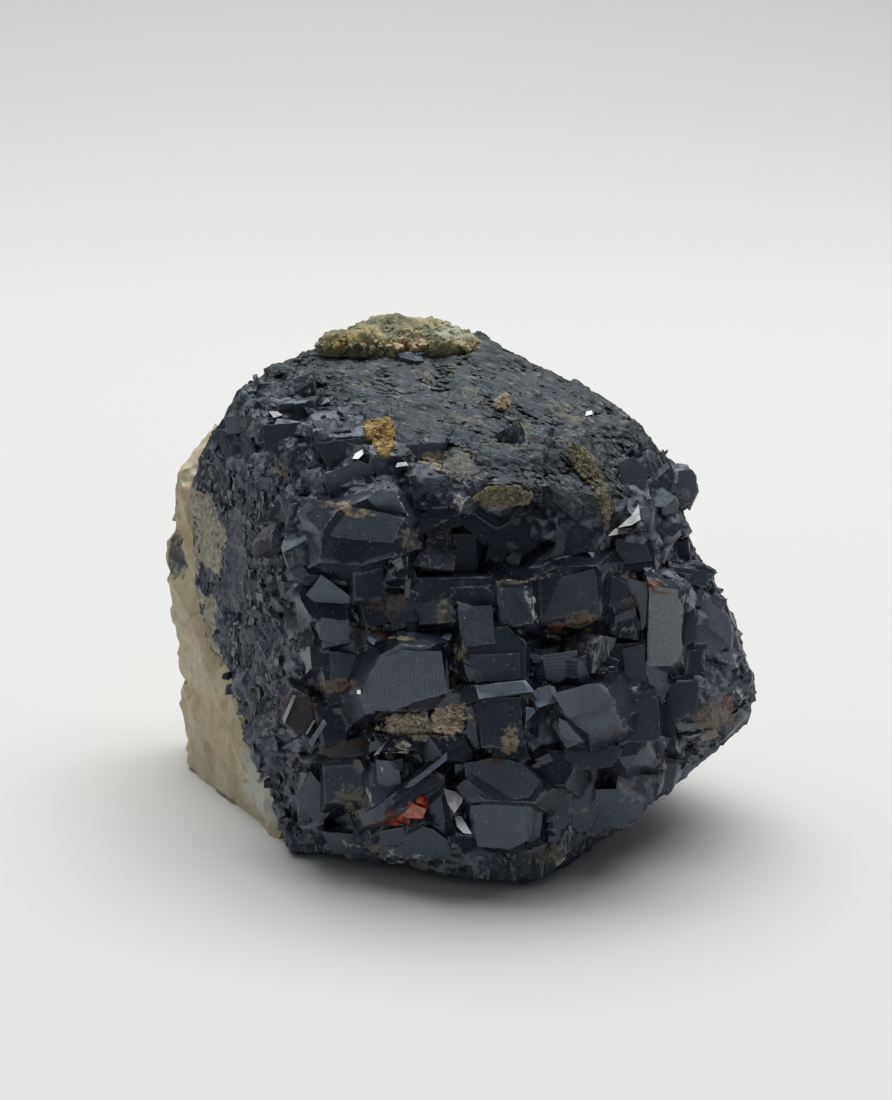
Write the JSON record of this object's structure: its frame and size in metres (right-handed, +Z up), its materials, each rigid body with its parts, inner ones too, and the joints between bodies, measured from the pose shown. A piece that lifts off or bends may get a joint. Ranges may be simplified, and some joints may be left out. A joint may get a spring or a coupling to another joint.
{
  "type": "garnet on quartz mineral specimen",
  "caption": "Hand-size mineral specimen of intergrown black garnet crystals on a cream quartz matrix, with a flat base to stand on.",
  "frame": {"origin": "middle of the footprint, on the surface the specimen stands on", "axes": "+Z up, -Y toward the viewer of the display side, +X to that viewer's right"},
  "size_m": [0.0658, 0.048, 0.0526],
  "materials": {
    "garnet": "near-black glossy crystal faces, blue-grey and matt where fine grained",
    "quartz": "cream, waxy and broken, faintly translucent",
    "crust": "olive-tan, granular and matt",
    "tan_grains": "tan, granular and matt"
  },
  "bodies": {
    "root": {"garnet_mass": "garnet", "quartz_matrix": "quartz", "weathered_crust": "crust", "tan_grains_left": "tan_grains", "tan_grains_right": "tan_grains"}
  },
  "joints": []
}
